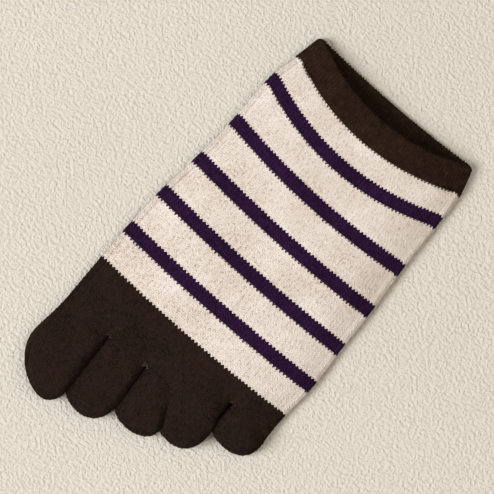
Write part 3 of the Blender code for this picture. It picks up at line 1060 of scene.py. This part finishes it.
def tube_cloth(cloth, bands, sides, cuff, tuck=0.0):
    """The wall of some bands, the cuff too if asked, from the toe end and back."""
    outer, inner, outer_yarns, inner_yarns = [], [], [], []

    def add(store, names, line, inset, yarn_name):
        store.append(evened(tube_loop(line, sides, inset), CLOTH_COLUMNS)[0])
        names.append(yarn_name)

    for band in reversed(bands):
        count = max(courses_in(band) // 2, 1)
        for row in range(count):
            line = between(band.end, band.start, row / count) + TOOTH * COURSE
            add(outer, outer_yarns, line, SKIN_INSET + tuck, band.yarn)
            add(inner, inner_yarns, line, WALL, band.yarn)
    top = bands[0].start + TOOTH * COURSE
    add(outer, outer_yarns, top, SKIN_INSET + tuck, bands[0].yarn)
    add(inner, inner_yarns, top, WALL, bands[0].yarn)
    rim, rim_yarns = [], []
    if cuff:
        path = cuff_path(SKIN_INSET, CLOTH_STEP, 1.2 * TOOTH * COURSE)
        rim = [evened(cuff_loop(depth, inset), CLOTH_COLUMNS)[0] for depth, inset in path[::-1]]
        rim_yarns = ["cuff_yarn"] * len(rim)
        outer_yarns[-1] = inner_yarns[-1] = "cuff_yarn"
    loops = outer + rim + inner[::-1]
    cloth.add(loops, outer_yarns + rim_yarns + inner_yarns[::-1][1:] + [bands[-1].yarn], True)


def toe_cloth(cloth, index, root_y):
    outer_ys = toe_courses(index, root_y, SKIN_INSET, CLOTH_STEP)
    inner_ys = toe_courses(index, root_y, WALL, CLOTH_STEP)
    tucked = [evened(toe_loop(index, root_y + back, SKIN_INSET + 0.4 * MM), TOE_CLOTH_COLUMNS)[0]
              for back in (2.5 * MM,)]
    outer = [evened(toe_loop(index, y, SKIN_INSET), TOE_CLOTH_COLUMNS)[0] for y in outer_ys]
    inner = [evened(toe_loop(index, y, WALL), TOE_CLOTH_COLUMNS)[0] for y in inner_ys]
    back = [evened(toe_loop(index, root_y + 2.5 * MM, WALL), TOE_CLOTH_COLUMNS)[0]]
    loops = outer[::-1] + tucked + back + inner
    cloth.add(loops, ["toe_yarn"] * len(loops), False)


cloth = Cloth()
tube_cloth(cloth, foot_bands(), tube_sides, True)
back_line = moved(LITTLE_TOE_ROOT, 2.5 * MM)
tube_cloth(cloth, [Band("four_toe_band", "toe_yarn", back_line, TOE_ROOTS)], four_toe_sides,
           False, 0.05 * MM)
for index in range(len(TOES)):
    root = LITTLE_TOE_ROOT if index == len(TOES) - 1 else TOE_ROOTS
    toe_cloth(cloth, index, root[1])
print("cloth", len(cloth.faces), "faces")

# %% [markdown]
# ## The backing's finish
# The cloth has the colours of the yarns, painted a little darker in the troughs
# of small waves across the wales: painted shade of the grooves it lies in. On
# the inside it shows the backs of the stitches, which make these waves, also in
# its bump.

# %% The finish of the cloth
def backing(name, colour):
    material = bpy.data.materials.new(name)
    material.use_nodes = True
    graph = Graph(material.node_tree)
    shader = material.node_tree.nodes["Principled BSDF"]
    here = graph.node("ShaderNodeTexCoord").outputs["Object"]
    rows = graph.number("ShaderNodeTexWave", {"bands_direction": "Y"}, {
        "Vector": here, "Scale": 0.314 / COURSE, "Distortion": 1.2, "Detail Scale": 3.0})
    grain = graph.number("ShaderNodeTexNoise", {}, {"Vector": here, "Scale": 1500.0})
    # The waves' troughs, where the bump is low, are painted darker: painted shade. The grain is a
    # random tone.
    tone_and_painted_shade = rows * 0.35 + grain * 0.5
    blend = graph.node("ShaderNodeMix", {"data_type": "RGBA"}, {
        0: tone_and_painted_shade, 6: linear([0.80 * c for c in colour]), 7: linear(colour)})
    bump = graph.node("ShaderNodeBump", {}, {
        "Height": rows * 0.7 + grain * 0.3, "Distance": 0.2 * MM, "Strength": 0.7})
    material.node_tree.links.new(blend.outputs[2], shader.inputs["Base Color"])
    material.node_tree.links.new(bump.outputs[0], shader.inputs["Normal"])
    shader.inputs["Roughness"].default_value = 0.95
    shader.inputs["Specular IOR Level"].default_value = 0.03
    return material


BACKINGS = {
    "cuff_yarn": backing("cuff_backing", (42, 27, 18)),
    "toe_yarn": backing("toe_backing", (40, 26, 18)),
    "cream_yarn": backing("cream_backing", (220, 207, 197)),
    "purple_yarn": backing("purple_backing", (36, 13, 44)),
}
mesh = bpy.data.meshes.new("sock_cloth")
mesh.from_pydata(cloth.points, [], cloth.faces)
order = list(BACKINGS)
for key in order:
    mesh.materials.append(BACKINGS[key])
mesh.polygons.foreach_set("material_index", [order.index(key) for key in cloth.yarns])
mesh.shade_smooth()
sock_cloth = bpy.data.objects.new("sock_cloth", mesh)
bpy.context.scene.collection.objects.link(sock_cloth)
print("cloth made")

# %% [markdown]
# ## Camera, floor and light
# The photograph looks straight down, with the sock turned on its table. The
# light is soft and comes from the left, so the shadows lie along the right
# side. The table is a pale sheet with a faint grain.

# %% Camera
PHOTO_SIDE = 494
MM_PER_PIXEL = 0.3962
TURN = math.radians(40.70)
AIM = Vector((-6.64 * MM, 8.08 * MM, 5.0 * MM))
CAMERA_HEIGHT = 1.5
camera_data = bpy.data.cameras.new("camera")
camera_data.sensor_width = 36.0
view_width = PHOTO_SIDE * MM_PER_PIXEL * MM
camera_data.lens = camera_data.sensor_width * CAMERA_HEIGHT / view_width
camera = bpy.data.objects.new("camera", camera_data)
camera.location = AIM + Vector((0, 0, CAMERA_HEIGHT))
camera.rotation_euler = (0, 0, TURN)
camera_data.clip_end = 50.0
bpy.context.scene.collection.objects.link(camera)
bpy.context.scene.camera = camera

# %% Floor
def paper():
    material = bpy.data.materials.new("pale_sheet")
    material.use_nodes = True
    graph = Graph(material.node_tree)
    shader = material.node_tree.nodes["Principled BSDF"]
    here = graph.node("ShaderNodeTexCoord").outputs["Object"]
    grain = graph.number("ShaderNodeTexNoise", {}, {
        "Vector": here, "Scale": 760.0, "Detail": 2.0, "Distortion": 0.3})
    cloud = graph.number("ShaderNodeTexNoise", {}, {"Vector": here, "Scale": 9.0})
    blend = graph.node("ShaderNodeMix", {"data_type": "RGBA"}, {
        0: grain * 0.6 + cloud * 0.4, 6: linear((183, 175, 165)), 7: linear((199, 191, 180))})
    bump = graph.node("ShaderNodeBump", {}, {
        "Height": grain, "Distance": 1.25 * MM, "Strength": 0.9})
    material.node_tree.links.new(blend.outputs[2], shader.inputs["Base Color"])
    material.node_tree.links.new(bump.outputs[0], shader.inputs["Normal"])
    shader.inputs["Roughness"].default_value = 0.85
    shader.inputs["Specular IOR Level"].default_value = 0.2
    return material


FLOOR_HALF = 2.0
floor_mesh = bpy.data.meshes.new("floor")
floor_mesh.from_pydata([(x, y, 0.0) for x, y in (
    (-FLOOR_HALF, -FLOOR_HALF), (FLOOR_HALF, -FLOOR_HALF),
    (FLOOR_HALF, FLOOR_HALF), (-FLOOR_HALF, FLOOR_HALF))], [], [(0, 1, 2, 3)])
floor_mesh.materials.append(paper())
floor = bpy.data.objects.new("floor", floor_mesh)
bpy.context.scene.collection.objects.link(floor)

# %% Light
def area_light(name, place, size, power, colour):
    """A square soft light that looks at the sock."""
    data = bpy.data.lights.new(name, "AREA")
    data.size, data.energy, data.color = size, power, colour
    light = bpy.data.objects.new(name, data)
    light.location = place
    light.rotation_euler = (-Vector(place)).to_track_quat("-Z", "Y").to_euler()
    bpy.context.scene.collection.objects.link(light)
    return light


photo_right = Vector((math.cos(TURN), math.sin(TURN), 0))
photo_up = Vector((-math.sin(TURN), math.cos(TURN), 0))
area_light("key", -1.88 * photo_right - 0.26 * photo_up + Vector((0, 0, 1.80)), 1.4, 98.0,
           (0.925, 0.97, 1.0))
area_light("fill", 1.8 * photo_right - 0.2 * photo_up + Vector((0, 0, 2.4)), 1.8, 31.5,
           (1.0, 0.95, 0.865))
world = bpy.data.worlds.new("studio")
world.use_nodes = True
world.node_tree.nodes["Background"].inputs["Color"].default_value = (1.0, 0.922, 0.825, 1.0)
world.node_tree.nodes["Background"].inputs["Strength"].default_value = 0.44
bpy.context.scene.world = world
bpy.context.scene.view_settings.view_transform = "Standard"
print("lit")

# %% [markdown]
# ## Handing the pieces to the frame
# Each piece rides on the sock's one body and stands for the node of the same
# name. The wall of cloth is one knitted sheet, laid on the floor.

# %% Finish
for piece, node, slot in pieces:
    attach(piece, "root")
    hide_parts(node)
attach(puckers, "root")
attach(sock_cloth, "root")
[puckers] + [piece for piece, _, _ in pieces]
bpy.data.objects.remove(stitch)
